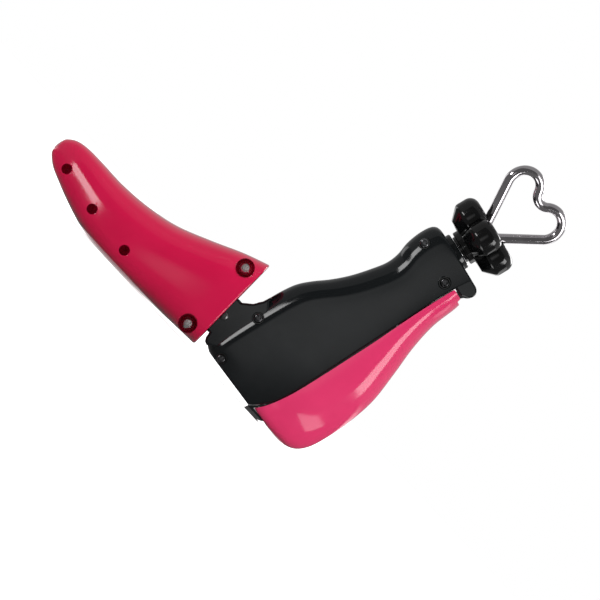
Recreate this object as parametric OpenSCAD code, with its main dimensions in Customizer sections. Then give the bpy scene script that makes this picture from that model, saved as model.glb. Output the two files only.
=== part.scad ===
// Two-way shoe stretcher: a split toe that tilts and spreads, a heel block that swings out,
// a star knob for the length and a heart handle for the width.
// X runs from toe to heel, Y across, Z up; it stands on the toe sole and the heel frame lip.

/* [Drive axis] */
// Place along X where the drive axis leaves the end face of the housing
axis_x = 78.2; // [74:0.1:88]
// Height at which the drive axis leaves the end face of the housing
axis_z = 139.8; // [136:0.2:146]
// Lean of the drive axis from upright, toward the heel, in degrees
axis_lean = 11.8; // [11:0.1:12.5]

/* [Housing] */
// Half of the housing width
housing_half = 18.5; // [16.5:0.5:23]
// Wall of the two housing shells
housing_wall = 2.3; // [1.8:0.1:2.8]
// Radius of the cheeks round the tilt pin
neck_r = 12; // [10.5:0.5:12.5]
// Radius of the round shoulder along the flank, measured across the width
shoulder_r = 11; // [6:0.5:13]
// Radius of the four pillars that the housing screws run through
pillar_r = 3; // [2.6:0.1:3.2]
// Radius of the sinks that hold the housing screw heads
sink_r = 3.4; // [3:0.1:3.6]

/* [Toe] */
// Overall length of the toe block
toe_length = 129; // [105:1:155]
// Half of the closed width of the toe block at its widest place
toe_half = 33.5; // [31:0.5:40]
// Wall of the toe shells
toe_wall = 2.5; // [2:0.1:3]
// Gap between the closed toe halves
toe_gap = 0.3; // [0.2:0.1:0.6]
// Radius of the holes for the relief plugs
plug_r = 2.9; // [2.3:0.1:3.5]
// Length of the sockets behind the plug holes
plug_depth = 7; // [5:0.5:8]
// Radius of the deep sinks for the toe screws
toe_sink_r = 4.8; // [4:0.1:5.2]

/* [Tilt and spread] */
// Radius of the tilt pin
tilt_pin_r = 2; // [1.6:0.1:2.4]
// Radius of the tongue that rides on the spreading blade
tongue_r = 15.5; // [15.2:0.1:15.7]
// How far each toe half moves out
spread = 7; // [4:0.5:8]
// Travel of the width wedge down its screw
width_travel = 15; // [12:0.5:15.2]
// Thickness of the plates of the toe frames
arm_t = 3; // [2.4:0.2:3.4]
// Radius of the guide pins that the toe halves slide on
guide_r = 2; // [1.6:0.1:2.4]
// Half of the length of the guide pins
guide_half = 20.5; // [19:0.5:22]
// Wire radius of the return springs
spring_wire = 0.4; // [0.3:0.05:0.5]

/* [Heel] */
// Half width of the heel block at its top
heel_top_half = 18.2; // [16:0.2:20]
// Half width of the heel block at its sole
heel_sole_half = 20.5; // [18:0.5:24]
// Wall of the heel shell
heel_wall = 2.5; // [2:0.1:3]
// Radius of the heel hinge pin
heel_pin_r = 2; // [1.6:0.1:2.4]
// Travel of the length wedge down its screw
length_travel = 28; // [20:0.5:29]
// Slope of the length wedge, as rise over run
length_slope = 0.256; // [0.22:0.002:0.27]

/* [Screws and knob] */
// Outer radius of the hollow length screw
screw_r = 6; // [5.4:0.1:6.4]
// Radius of the inner width rod
rod_r = 2.9; // [2.4:0.1:3.4]
// Largest radius of the star knob
knob_r = 23; // [20:0.5:27]
// Radius of each lobe of the star knob
lobe_r = 9.7; // [8.5:0.1:10.5]
// Number of lobes on the knob
lobes = 5; // [4:1:6]
// Radius of the collar on the end face
collar_r = 10.35; // [9.5:0.05:11]

/* [Heart handle] */
// Radius of the wire
wire_r = 2.4; // [1.5:0.1:2.8]
// Radius of the two round lobes, along the middle of the wire
heart_lobe_r = 9.6; // [7.5:0.1:10.5]
// Distance of a lobe's centre from the axis
heart_lobe_x = 12.9; // [11:0.1:14]
// Height of the lobe centres above the end face
heart_lobe_z = 50.3; // [46:0.1:60]

/* [Hidden] */
$fn = 48;

// Clearances: running fits, faces that move past each other, and faces that touch
fit = 0.08;
run = 0.3;
eps = 0.01;

toe_color = "#b5173f";
heel_color = "#d8285a";
black = "#17191b";
steel = "#c9ccd0";
brass = "#b8964a";

// Places in the drive frame: [across toward the heel, along the axis], from the end face
tilt_axis = [-35.2, -124.2];
heel_axis = [21, -4.8];
pillars = [[-13, -11.6], [11, -13.2], [-24.4, -109], [-16, -137.3]];
cavity_half = housing_half - housing_wall;

// Places in the part's own frame, as [x, z]
tilt_x = axis_x + tilt_axis.x * cos(axis_lean) + tilt_axis.y * sin(axis_lean);
tilt_z = axis_z - tilt_axis.x * sin(axis_lean) + tilt_axis.y * cos(axis_lean);
pin_x = 20.14;
toe_rear = 20;
toe_scale = toe_length / 129;
pin_at = [pin_x, tilt_z];
toe_screws_at = [[9.3, 51.4], [10.2, 8.4]];
plugs_at = [[-95, 17.1], [-69.7, 12.6], [-41.6, 10.3]];
guides_at = [[1, 43], [-7, 13]];

// Stack across the toe, as distances from the middle plane
yoke_half = 1.8;
arm_in = yoke_half + run;
arm_out = arm_in + arm_t;
hub_out = cavity_half - spread - 0.2;
guide_boss_out = arm_out + 2;
clip_t = 1;
clip_in = guide_half - clip_t - 0.3;
frame_boss_out = arm_out + 5;
frame_boss_r = 2.4;
screw_floor = frame_boss_out + 2.5;
width_slope = spread / width_travel;

// Rows of the toe: [top x, top z, sole x, sole z, half width], from the tip to the rear
toe_rows = [
    [-108.8, 22.8, -108.8, 20.8, 2.2], [-107, 28.2, -106.8, 16.3, 9.5], [-102.3, 31.5, -101.6, 12.5, 15],
    [-95, 33, -94.2, 9.5, 19.5], [-84, 33.3, -82, 5.3, 24.5], [-69, 33.3, -67.5, 1.5, 29],
    [-51.5, 35.2, -52, -0.5, 32.2], [-33, 39.6, -34, -0.5, 33.5], [-14, 48, -14, 0.9, 33],
    [2.6, 56.2, 4, 2.3, 31.2], [17.3, 62.1, 20.3, 3.3, 28.6]];

// Rows of the heel in the drive frame: [seam across, seam along, back across, back along, half width share]
heel_rows = [
    [17.4, -10.6, 24.6, -10.2, 0.0], [17.3, -16, 26, -15.6, 0.02], [17.4, -30, 27.9, -30.5, 0.08],
    [18.1, -46, 32.6, -46, 0.2], [18.8, -62, 39.2, -61.6, 0.45], [19.4, -80, 46, -79.5, 0.75],
    [19.9, -98, 49.2, -98, 0.95], [20, -112, 49.9, -112.5, 1.0], [19.2, -123, 48.9, -122.5, 0.96],
    [17.9, -130, 45.4, -129.3, 0.86], [16.6, -134, 38.6, -133.4, 0.68], [15.9, -135.6, 31, -134.9, 0.45]];

// Rows of the housing in the drive frame: [flank across, flank along, seam across, seam along]
housing_rows = [
    [-14, 0, 19, 0], [-17, -1.3, 17.6, -1.3], [-18.8, -4.6, 17.2, -4.6], [-19.1, -11, 16.6, -11],
    [-17.9, -19, 16.5, -19], [-15.3, -26.5, 16.7, -26.5], [-14.5, -34, 17, -34], [-16, -43.5, 17.4, -43.5],
    [-18.6, -54.5, 17.7, -54.5], [-22.2, -64.5, 18.1, -64.5], [-26.4, -73.5, 18.4, -73.5],
    [-29.3, -81.5, 18.7, -81.5], [-30.4, -90, 19, -90], [-30.6, -100, 19.4, -100],
    [-30.6, -112, 19.7, -112], [-30.4, -124, 19.4, -119.5], [-29.8, -134, 18.6, -124.5],
    [-28.4, -137.6, 17.5, -128.2], [-25.8, -139.9, 15.6, -132.6], [-22.4, -141.1, 12.6, -137.5]];

// Smooth curve through rows, read at a place counted in rows
function along(rows, u) =
    let(n = len(rows) - 1, k = min(floor(u), n - 1), f = u - k)
    let(a = rows[max(k - 1, 0)], b = rows[k], c = rows[k + 1], d = rows[min(k + 2, n)])
    (2 * b + (c - a) * f + (2 * a - 5 * b + 4 * c - d) * f * f + (3 * b - a - 3 * c + d) * f * f * f) / 2;

function power(v, p) = sign(v) * pow(abs(v), p);

// Triangles between rings of equally many points, with both ends closed
function loft_faces(rings, count) = concat(
    [for (k = [0:rings - 2], j = [0:count - 1])
        let(a = k * count + j, b = k * count + (j + 1) % count) each [[a, b, a + count], [b, b + count, a + count]]],
    [[for (j = [count - 1:-1:0]) j], [for (j = [0:count - 1]) (rings - 1) * count + j]]);

module loft(rings) {
    polyhedron(points = [for (r = rings) each r], faces = loft_faces(len(rings), len(rings[0])), convexity = 6);
}

// Prism of a profile in the XZ plane, from y0 to y1
module slab(points, y0, y1) {
    translate([0, y1, 0]) rotate([90, 0, 0]) linear_extrude(y1 - y0) polygon(points);
}

// Round bar along Y at a place in the XZ plane
module bar(at, r, y0, y1) {
    translate([at.x, y0, at.y]) rotate([-90, 0, 0]) cylinder(r = r, h = y1 - y0);
}

// Round bar along the drive axis
module post(r, z0, z1) {
    translate([0, 0, z0]) cylinder(r = r, h = z1 - z0);
}

module drive_frame() {
    translate([axis_x, 0, axis_z]) rotate([0, axis_lean, 0]) children();
}

// The toe's numbers are read with the tilt pin at pin_x, and follow the pin along X
module toe_place() {
    translate([tilt_x - pin_x, 0, 0]) children();
}

module left_copy() {
    mirror([0, 1, 0]) children();
}

// Toe block: rails over the top and the sole, joined by full, slightly squared sections
toe_steps = 26;
toe_sides = 14;
toe_full = 2.7;

function toe_row(u) =
    let(r = along(toe_rows, u), s = toe_scale, w = r[4] * toe_half / 33.5)
    [toe_rear + (r[0] - toe_rear) * s, r[1], toe_rear + (r[2] - toe_rear) * s, r[3], w];

// One D-shaped ring of a toe half: inset from the outside, and reaching past the middle plane by skirt
function toe_ring(u, inset, skirt) =
    let(r = toe_row(u), h = norm([r[0] - r[2], r[1] - r[3]]))
    let(d = [r[0] - r[2], r[1] - r[3]] / h, low = [r[2], r[3]] + d * inset, high = [r[0], r[1]] - d * inset)
    let(w = r[4] - inset, span = high - low, inner = skirt > 0 ? -skirt : toe_gap / 2)
    concat([[low.x, inner, low.y]],
        [for (j = [skirt > 0 ? 0 : 1:toe_sides - (skirt > 0 ? 0 : 1)])
            let(a = -90 + 180 * j / toe_sides, q = (1 + power(sin(a), 2 / toe_full)) / 2)
            [low.x + span.x * q, toe_gap / 2 + (w - toe_gap / 2) * pow(abs(cos(a)), 2 / toe_full), low.y + span.y * q]],
        [[high.x, inner, high.y]]);

toe_end = len(toe_rows) - 1;
cavity_start = 1.1;

module toe_outside() {
    loft([for (k = [toe_steps:-1:0]) toe_ring(toe_end * k / toe_steps, 0, 0)]);
}

module toe_cavity() {
    rings = [for (k = [toe_steps:-1:0])
        toe_ring(cavity_start + (toe_end - cavity_start) * k / toe_steps, toe_wall, 1)];
    loft(concat([[for (p = rings[0]) p + [3, 0, 0]]], rings));
}

// Toe shell on the far side: hollow, with two sunk screw bosses and three plug sockets
module toe_shell() {
    difference() {
        toe_outside();
        difference() {
            toe_cavity();
            for (p = toe_screws_at) bar(p, toe_sink_r + 1.8, frame_boss_out, toe_half);
            for (k = [0:len(plugs_at) - 1]) plug_socket(k, plug_r + 1.8, plug_depth);
        }
        for (p = toe_screws_at) {
            bar(p, toe_sink_r, screw_floor, toe_half + 5);
            bar(p, 1.6, frame_boss_out - 1, toe_half + 5);
        }
        for (k = [0:len(plugs_at) - 1]) plug_socket(k, plug_r, plug_depth - 1.6);
        translate([-toe_length * 2, -toe_half * 2, -10]) cube([toe_length * 4, toe_half * 4, 10]);
    }
}

function plug_place(k) = [toe_rear + (plugs_at[k].x - toe_rear) * toe_scale, plugs_at[k].y];

// Half width of the toe at a place in the XZ plane, from the row that passes nearest to it
function toe_surface(p) =
    let(rows = [for (u = [0:0.1:toe_end]) toe_row(u)], up = [for (r = rows) (p.y - r[3]) / (r[1] - r[3])])
    let(miss = [for (k = [0:len(rows) - 1]) abs(rows[k][2] + (rows[k][0] - rows[k][2]) * up[k] - p.x)])
    let(k = search(min(miss), miss)[0], side = power(2 * up[k] - 1, toe_full / 2))
    toe_gap / 2 + (rows[k][4] - toe_gap / 2) * pow(1 - side * side, 1 / toe_full);

module plug_socket(k, r, depth) {
    bar(plug_place(k), r, toe_surface(plug_place(k)) - depth, toe_half + 5);
}

// Black inner frame of a toe half: hub on the tilt pin, tongue, struts to the screw bosses and a nose
arm_outline = [[13, 33], [14, 44], [15.5, 54.2], [8, 55], [-10, 46], [-26, 38.6], [-44, 31.5], [-58, 24],
    [-62, 14], [-50, 7.5], [-30, 5], [-6, 5.4], [14.5, 7], [16, 14]];
arm_window_top = [[5, 33], [4.5, 40.5], [-8, 38.5], [-22, 33], [-34, 27.5], [-20, 26.5]];
arm_window_low = [[2, 18.5], [-20, 20.5], [-38, 21], [-46, 16], [-34, 11.6], [-14, 10.5], [-12, 16], [-4, 19]];

module sector(r, a0, a1, y0, y1) {
    points = concat([[0, 0]], [for (a = [a0:3:a1]) r * [cos(a), sin(a)]]);
    slab(points, y0, y1);
}

// Angles of the tongue about the tilt pin, in the part's frame; the blade meets its rim at every tilt
tongue_from = -32;
tongue_to = 34;

module toe_frame() {
    s = toe_scale;
    fit_x = function(p) [toe_rear + (p.x - toe_rear) * s, p.y];
    difference() {
        union() {
            slab([for (p = arm_outline) fit_x(p)], arm_in, arm_out);
            bar(pin_at, 9, arm_in, arm_out);
            translate([pin_at.x, 0, pin_at.y]) sector(tongue_r, tongue_from, tongue_to, arm_in, arm_out);
            bar(pin_at, 5.2, arm_out - eps, hub_out);
            for (p = toe_screws_at) bar(p, frame_boss_r, arm_out - eps, frame_boss_out);
            for (p = guides_at) bar(p, guide_r + 2.4, arm_out - eps, guide_boss_out);
        }
        slab([for (p = arm_window_top) fit_x(p)], arm_in - 1, arm_out + 1);
        slab([for (p = arm_window_low) fit_x(p)], arm_in - 1, arm_out + 1);
        bar(pin_at, tilt_pin_r + fit, arm_in - 1, hub_out + 1);
        for (p = guides_at) bar(p, guide_r + fit, arm_in - 1, guide_boss_out + 1);
        for (p = toe_screws_at) bar(p, 1.2, arm_out - 1, frame_boss_out + 1);
    }
}

// Pan head screw along Y, head outward, with a cross recess
module pan_screw(at, seat, head_r, head_t, shank_r, tip) {
    difference() {
        union() {
            translate([at.x, seat, at.y]) rotate([-90, 0, 0]) rotate_extrude() polygon(concat([[0, 0], [head_r, 0]],
                [for (a = [0:15:90]) [head_r - head_t * 0.7 * (1 - cos(a)), head_t * (0.3 + 0.7 * sin(a))]],
                [[0, head_t]]));
            bar(at, shank_r, tip, seat + eps);
        }
        for (a = [0, 90]) translate([at.x, seat + head_t - 0.5, at.y]) rotate([-90, 0, 0]) rotate([0, 0, a])
            translate([-head_r * 0.55, -0.35, -0.6]) cube([head_r * 1.1, 0.7, 2]);
    }
}

module toe_screws() {
    for (p = toe_screws_at) pan_screw(p, screw_floor, 2.95, 2, 1.2, arm_out - 0.8);
}

// Centre yoke: hangs on the tilt pin between the two frames and holds the guide pins
module toe_yoke() {
    color(black) toe_place() difference() {
        union() {
            bar(pin_at, 5, -yoke_half, yoke_half);
            for (p = guides_at) bar(p, guide_r + 3, -yoke_half, yoke_half);
            slab([pin_at + [0, 4.6], [4, 46.6], [-3, 45.5], [-11, 14.6], [-6, 9.2], pin_at - [0, 4.6]],
                -yoke_half, yoke_half);
        }
        slab([[10, 28.5], [3, 35.5], [-2.4, 21.5], [2.5, 19.5]], -yoke_half - 1, yoke_half + 1);
        bar(pin_at, tilt_pin_r + fit, -yoke_half - 1, yoke_half + 1);
        for (p = guides_at) bar(p, guide_r, -yoke_half - 1, yoke_half + 1);
    }
}

module toe_guide_pins() {
    color(steel) toe_place() for (p = guides_at) difference() {
        bar(p, guide_r, -guide_half, guide_half);
        for (m = [0, 1]) mirror([0, m, 0]) difference() {
            bar(p, guide_r + 1, clip_in, clip_in + clip_t);
            bar(p, guide_r - 0.4, clip_in - 1, clip_in + clip_t + 1);
        }
    }
}

module toe_guide_clips() {
    color(steel) toe_place() for (p = guides_at, m = [0, 1]) mirror([0, m, 0]) difference() {
        bar(p, guide_r + 2, clip_in, clip_in + clip_t);
        bar(p, guide_r - 0.4, clip_in - 1, clip_in + clip_t + 1);
        translate([p.x - 1.1, clip_in - 1, p.y - guide_r - 3]) cube([2.2, clip_t + 2, guide_r + 3]);
    }
}

// Return spring on a guide pin, between the frame and the clip
spring_turns = 5;
spring_steps = 12;
spring_sides = 6;

module spring(at, r, y0, y1) {
    run_y = y1 - y0 - 2 * spring_wire;
    count = spring_turns * spring_steps;
    rise = atan(run_y / spring_turns / (2 * PI * r));
    rings = [for (k = [0:count])
        let(a = 360 * k / spring_steps, y = y0 + spring_wire + run_y * k / count)
        [for (j = [0:spring_sides - 1])
            let(b = 360 * j / spring_sides, out = spring_wire * cos(b), up = spring_wire * sin(b))
            [at.x + (r + out) * cos(a) + up * sin(rise) * sin(a), y + up * cos(rise),
                at.y + (r + out) * sin(a) - up * sin(rise) * cos(a)]]];
    loft(rings);
}

module toe_springs() {
    for (p = guides_at) spring(p, guide_r + 1.1, guide_boss_out + 0.05, clip_in - 0.05);
}

// Housing half on the far side, in the drive frame
housing_steps = 2;
shoulder_sides = 6;

function housing_ring(u, inset, skirt, mouth) =
    let(r = along(housing_rows, u), flank = [r[0], r[1]], seam = [r[2], r[3]])
    let(d = (seam - flank) / norm(seam - flank), f = flank + d * inset, s = seam + d * mouth)
    let(h = housing_half - inset, ry = shoulder_r - inset, rt = 8.5 - inset * 0.8)
    concat([[f.x, -skirt, f.y]],
        [for (j = [0:shoulder_sides])
            let(a = 90 * j / shoulder_sides, t = rt * (1 - cos(a)))
            [f.x + d.x * t, h - ry + ry * sin(a), f.y + d.y * t]],
        [[s.x, h, s.y], [s.x, -skirt, s.y]]);

housing_end = len(housing_rows) - 1;

module housing_outside() {
    steps = housing_end * housing_steps;
    loft([for (k = [steps:-1:0]) housing_ring(k / housing_steps, 0, 0, 0)]);
}

module housing_cavity() {
    steps = housing_end * housing_steps;
    first = 4;
    last = steps - 2;
    loft([for (k = [last:-1:first]) housing_ring(k / housing_steps, housing_wall, 1, 6)]);
}

// Cheek of the neck, with its rounded end about the tilt pin and the stop nub under it
neck_outline = concat([for (a = [95:15:275]) tilt_axis + neck_r * [cos(a), sin(a)]],
    [[-31.4, -135.6], [-30.2, -138.2], [-28.6, -139.9], [-26.4, -140.2], [-22, -136], [-22, -104],
        [-30.6, -98], [-30.8, -102], [-32.6, -107.4]]);
neck_mouth = [[-60, -150], [-34.5, -137.4], [-31, -133.4], [-20, -133.4], [-20, -114.6], [-28.4, -113.6],
    [-29.2, -106.8], [-33, -104], [-60, -100]];

// Foot that holds the heel pin at the corner of the end face
foot_outline = concat([[12, 0]], [for (a = [90:-15:-75]) [21.3, -4] + [4 * cos(a), 4 * sin(a)]],
    [[21, -9.4], [14, -9.4]]);
ear_half = 11.8;
sink_depth = 2.6;

module housing_half_shell(heads) {
    difference() {
        union() {
            housing_outside();
            slab(neck_outline, 0, housing_half);
            slab(foot_outline, 0, housing_half);
        }
        difference() {
            union() {
                housing_cavity();
                slab(neck_mouth, -1, cavity_half);
            }
            for (p = pillars) {
                bar(p, pillar_r, -2, housing_half);
                bar(p, sink_r + 1.2, housing_half - sink_depth - 1.6, housing_half);
            }
            bush_seat();
        }
        translate([heel_axis.x - 6, -1, heel_axis.y - 8]) cube([20, ear_half + 1, 20]);
        bar(heel_axis, heel_pin_r, -1, housing_half - 1.5);
        bar(tilt_axis, tilt_pin_r, -1, housing_half + 1);
        post(collar_tube_r, -10, 1);
        for (p = pillars) {
            bar(p, heads ? 1.5 : 1.1, -1, heads ? housing_half + 1 : housing_half - 3);
            if (heads) bar(p, sink_r, housing_half - sink_depth, housing_half + 1);
        }
    }
}

bush_z = -134.5;
bush_t = 6;
bush_r = 5.4;
bush_seat_half = 9;

module bush_seat() {
    difference() {
        translate([-9, -2, bush_z - 4]) cube([18, bush_seat_half + 2, bush_t + 2]);
        post(bush_r, bush_z, bush_z + bush_t + 1);
    }
}

module housing_screws() {
    color(black) drive_frame() left_copy() for (p = pillars)
        pan_screw(p, housing_half - sink_depth, 2.6, 1.8, 1.1, -housing_half + 6);
}

module tilt_pin() {
    color(steel) drive_frame() {
        bar(tilt_axis, tilt_pin_r, -housing_half, housing_half);
        for (m = [0, 1]) mirror([0, m, 0]) translate([tilt_axis.x, housing_half, tilt_axis.y])
            rotate([-90, 0, 0]) rotate_extrude() polygon(concat([[0, 0]],
                [for (a = [0:15:90]) [2.9 * cos(a), 1.1 * sin(a)]]));
    }
}

module heel_pin() {
    color(steel) drive_frame() bar(heel_axis, heel_pin_r, -housing_half + 1.6, housing_half - 1.6);
}

// Bearing at the end face: flange outside, tube through the wall, rim behind it
collar_tube_r = 8.2;
collar_top = 2.7;
collar_low = -6;

module end_collar() {
    color(black) drive_frame() difference() {
        union() {
            post(collar_r, 0, collar_top - 0.6);
            translate([0, 0, collar_top - 0.6]) cylinder(r1 = collar_r, r2 = collar_r - 0.6, h = 0.6);
            post(collar_tube_r, collar_low, 0);
        }
        post(screw_r + fit, collar_low - 1, collar_top + 1);
    }
}

// Hollow screw with its journal, the ring under the collar and the tube for the width rod
screw_low = -70;
ring_t = 2;

module length_screw() {
    color(steel) drive_frame() difference() {
        union() {
            post(screw_r - 0.9, screw_low, collar_low - run - ring_t);
            post(screw_r, collar_low - run - ring_t, 14);
        }
        post(rod_r + fit, screw_low - 1, 15);
    }
}

module screw_ring() {
    color(steel) drive_frame() difference() {
        post(screw_r + 1.6, collar_low - run - ring_t, collar_low - run);
        post(screw_r, collar_low - run - ring_t - 1, collar_low - run + 1);
    }
}

// Sleeve between the collar and the knob, with a groove and one square key
sleeve_low = 3;
sleeve_top = 11.5;
sleeve_r = 9.7;

module drive_sleeve() {
    color(black) drive_frame() difference() {
        union() {
            post(7.6, sleeve_low, sleeve_low + 1.3);
            post(sleeve_r, sleeve_low + 1.3, sleeve_top);
            rotate([0, 0, -78]) translate([sleeve_r - 1, -2.6, 5.4]) cube([1.7, 5.2, 4.4]);
        }
        post(screw_r, sleeve_low - 1, sleeve_top + 1);
    }
}

// Star knob: an outline of round lobes, drawn in along both rims
knob_low = 7.4;
knob_top = 25;
knob_floor = 13.4;
knob_phase = -85;
rim_front = 4.2;
rim_back = 2.4;
lobe_d = knob_r - lobe_r;
knob_points = 75;

function knob_reach(a, r) =
    let(b = ((a % (360 / lobes)) + 360 / lobes) % (360 / lobes) - 180 / lobes)
    let(side = lobe_d * sin(b), open = max(r * r - side * side, 0.2))
    lobe_d * cos(b) + sqrt(open);

function knob_ring(z, inset) = [for (j = [0:knob_points - 1])
    let(a = 360 * j / knob_points, q = knob_reach(a, lobe_r - inset)) [q * cos(a), q * sin(a), z]];

module star_knob() {
    color(black) drive_frame() rotate([0, 0, knob_phase + 180 / lobes]) difference() {
        loft([for (k = knob_profile()) knob_ring(k[0], k[1])]);
        difference() {
            post(sleeve_r + 1.1, knob_low - 1, knob_floor);
            post(sleeve_r - 1.4, sleeve_top, knob_floor + 1);
        }
        post(screw_r, knob_low, rod_head - 2);
        translate([0, 0, rod_head - 2.3]) cylinder(r1 = rod_r + 3, r2 = 10.4, h = knob_top - rod_head + 2.3 + eps);
    }
}

// Rows of the knob's rim: [height, inset], rounding in at the back and at the front
function knob_profile() = concat(
    [for (a = [90:-22.5:0]) [knob_top - rim_front * (1 - sin(a)), rim_front * (1 - cos(a))]],
    [for (a = [0:30:90]) [knob_low + rim_back * (1 - sin(a)), rim_back * (1 - cos(a))]]);

// Width rod through the hollow screw, with its head under the heart
rod_low = -133;
rod_head = 16.6;

module width_rod() {
    color(steel) drive_frame() {
        post(rod_r, rod_low, rod_head);
        post(rod_r + 2.6, 14.3, rod_head);
    }
}

module rod_clip() {
    color(steel) drive_frame() difference() {
        post(rod_r + 2, screw_low - run - 1, screw_low - run);
        post(rod_r, screw_low - 3, screw_low + 1);
    }
}

module heart_handle() {
    color(steel) drive_frame() rotate([0, 0, heart_turn]) heart_wire();
}

// The heart as it stands in the photograph, its front lobe turned toward the viewer
heart_turn = 25;

// Half of the heart of bent wire: an upright foot, a bend, a straight leg, a round lobe and a short turn,
// as [across, along, direction]
function heart_half() =
    let(cx = heart_lobe_x, cz = heart_lobe_z, r = heart_lobe_r)
    let(turn = (cx * cx + heart_dip * heart_dip - r * r) / (2 * (r - heart_dip)), top = cz + heart_dip + turn)
    let(join = atan2(top - cz, -cx), lean = atan2(cx, cz - heart_tip) + asin(r / norm([cx, cz - heart_tip])))
    let(foot = wire_r + 0.65, low = heart_tip + foot / tan(lean) - heart_bend * tan(lean / 2))
    concat([[foot, rod_head + 0.02, 90]],
        [for (k = [0:4]) let(a = lean * k / 4)
            [foot + heart_bend * (1 - cos(a)), low + heart_bend * sin(a), 90 - a]],
        [for (k = [0:15]) let(a = -lean + (join + lean) * k / 15) [cx + r * cos(a), cz + r * sin(a), a + 90]],
        [for (k = [1:5]) let(a = join - 180 + (90 - join) * k / 5)
            [turn * cos(a), top + turn * sin(a), a - 90]]);

heart_dip = 2.9;
heart_tip = 15.9;
heart_bend = 6;
wire_sides = 12;

function wire_ring(p) = [for (j = [0:wire_sides - 1])
    let(a = 360 * j / wire_sides, d = wire_r * cos(a))
    [p[0] - d * sin(p[2]), wire_r * sin(a), p[1] + d * cos(p[2])]];

module heart_wire() {
    half = heart_half();
    other = [for (k = [len(half) - 2:-1:0]) [-half[k][0], half[k][1], 360 - half[k][2]]];
    loft([for (p = concat(half, other)) wire_ring(p)]);
}

// Length wedge: a nut block on the hollow screw whose ramp pushes the heel frame out
length_low = -60;
length_top = -28;
ramp_at = 8.6;
nut_t = 12;

module length_wedge() {
    top_t = ramp_at + (length_top - length_low) * length_slope;
    color(black) drive_frame() difference() {
        slab([[-8, length_top], [-8.8, length_top - 1], [-8.8, length_low + 3], [-6.5, length_low],
            [ramp_at, length_low], [top_t, length_top]], -8, 8);
        post(rod_r + 3.6, length_low - 1, length_top + 1);
        translate([0, 0, length_top - nut_t - 2]) cylinder(r = 7.4, h = nut_t + 3, $fn = 6);
    }
}

module length_nut() {
    color(brass) drive_frame() difference() {
        translate([0, 0, length_top - nut_t]) cylinder(r = 7.4, h = nut_t, $fn = 6);
        post(screw_r - 0.9 + fit, length_top - nut_t - 1, length_top + 1);
    }
}

// Width wedge: a nut block on the rod with a blade that parts the two tongues
blade_low = -118.6;
blade_top = -98;
blade_from = -21;
blade_to = -17.2;
carriage_low = -108;
carriage_top = -96;
meet_z = -118;

module width_wedge() {
    half_at = function(z) arm_in - run + (z - meet_z) * width_slope;
    cap = arm_in - run + spread + 0.4;
    cap_z = meet_z + (cap - half_at(meet_z)) / width_slope;
    color(black) drive_frame() difference() {
        union() {
            translate([blade_from, 0, 0]) rotate([90, 0, 90]) linear_extrude(blade_to - blade_from) polygon([
                [-half_at(blade_low), blade_low], [half_at(blade_low), blade_low], [cap, cap_z], [cap, blade_top],
                [-cap, blade_top], [-cap, cap_z]]);
            slab([[blade_to - eps, blade_top], [blade_to - eps, blade_low + 8], [-4, carriage_low],
                [4, carriage_low], [4, carriage_top], [-8, carriage_top]], -4.5, 4.5);
            post(8, carriage_low, carriage_top);
        }
        translate([0, 0, carriage_low - 1]) cylinder(r = 5.4, h = 9, $fn = 6);
        post(rod_r + fit + 0.1, carriage_low - 1, carriage_top + 1);
    }
}

module width_nut() {
    color(brass) drive_frame() difference() {
        translate([0, 0, carriage_low]) cylinder(r = 5.4, h = 8, $fn = 6);
        post(rod_r + fit, carriage_low - 1, carriage_low + 9);
    }
}

module rod_bush() {
    color(brass) drive_frame() difference() {
        post(bush_r, bush_z, bush_z + bush_t);
        post(rod_r + fit, rod_low - eps, bush_z + bush_t + 1);
    }
}

// Heel block: a D section lofted down the seam
heel_steps = 24;
heel_sides = 10;
heel_full = 2.5;

function heel_ring(u, inset, mouth) =
    let(r = along(heel_rows, u), seam = [r[0], r[1]], back = [r[2], r[3]])
    let(d = (back - seam) / norm(back - seam), s = seam - d * mouth, b = back - d * inset, span = b - s)
    let(sole = u / (len(heel_rows) - 1), pinch = sole > 0.82 ? pow((sole - 0.82) / 0.18, 2) * 4.5 : 0)
    let(w = heel_top_half + (heel_sole_half - heel_top_half) * max(r[4], min(sole * 1.3, 1)) - pinch - inset)
    [for (j = [-heel_sides:heel_sides])
        let(a = 90 - abs(j) * 90 / heel_sides, f = pow(abs(sin(a)), 2 / heel_full))
        [s.x + span.x * f, sign(j) * w * pow(abs(cos(a)), 2 / heel_full), s.y + span.y * f]];

heel_end = len(heel_rows) - 1;

module heel_outside() {
    loft([for (k = [0:heel_steps]) heel_ring(heel_end * k / heel_steps, 0, 0)]);
}

module heel_cavity() {
    loft([for (k = [2:heel_steps - 3]) heel_ring(heel_end * k / heel_steps, heel_wall, 4)]);
}

heel_screws_at = [-36, -84, -116];
plate_at = 1.2;
plate_t = 2.4;

// Across place of the seam at a height in the drive frame
function seam_at(z) = 16.9 + (-z) * 0.0265;

module heel_shell() {
    color(heel_color) drive_frame() difference() {
        heel_outside();
        difference() {
            heel_cavity();
            for (z = heel_screws_at) translate([seam_at(z) + plate_at + plate_t + fit, 0, z]) rotate([0, 90, 0])
                cylinder(r = 3, h = 60);
        }
        for (z = heel_screws_at) translate([seam_at(z) - 2, 0, z]) rotate([0, 90, 0])
            cylinder(r = 1.2, h = plate_at + plate_t + (z < -60 ? 13 : 6));
        translate([0, -ear_half - run, -12.4]) cube([40, 2 * (ear_half + run), 8]);
        translate([-10, -40, -9.9]) cube([60, 80, 20]);
        translate([seam_at(-14) - 8, -ear_half - run, -18]) cube([8 + plate_at + plate_t + 1.4, 2 * (ear_half + run), 8]);
    }
}

nose_at = [12.35, -58.5];
nose_r = 3;
cheek_out = min(cavity_half, heel_top_half - heel_wall) - run;
cheek_in = cheek_out - 2.4;
plate_low = -127;

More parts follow.
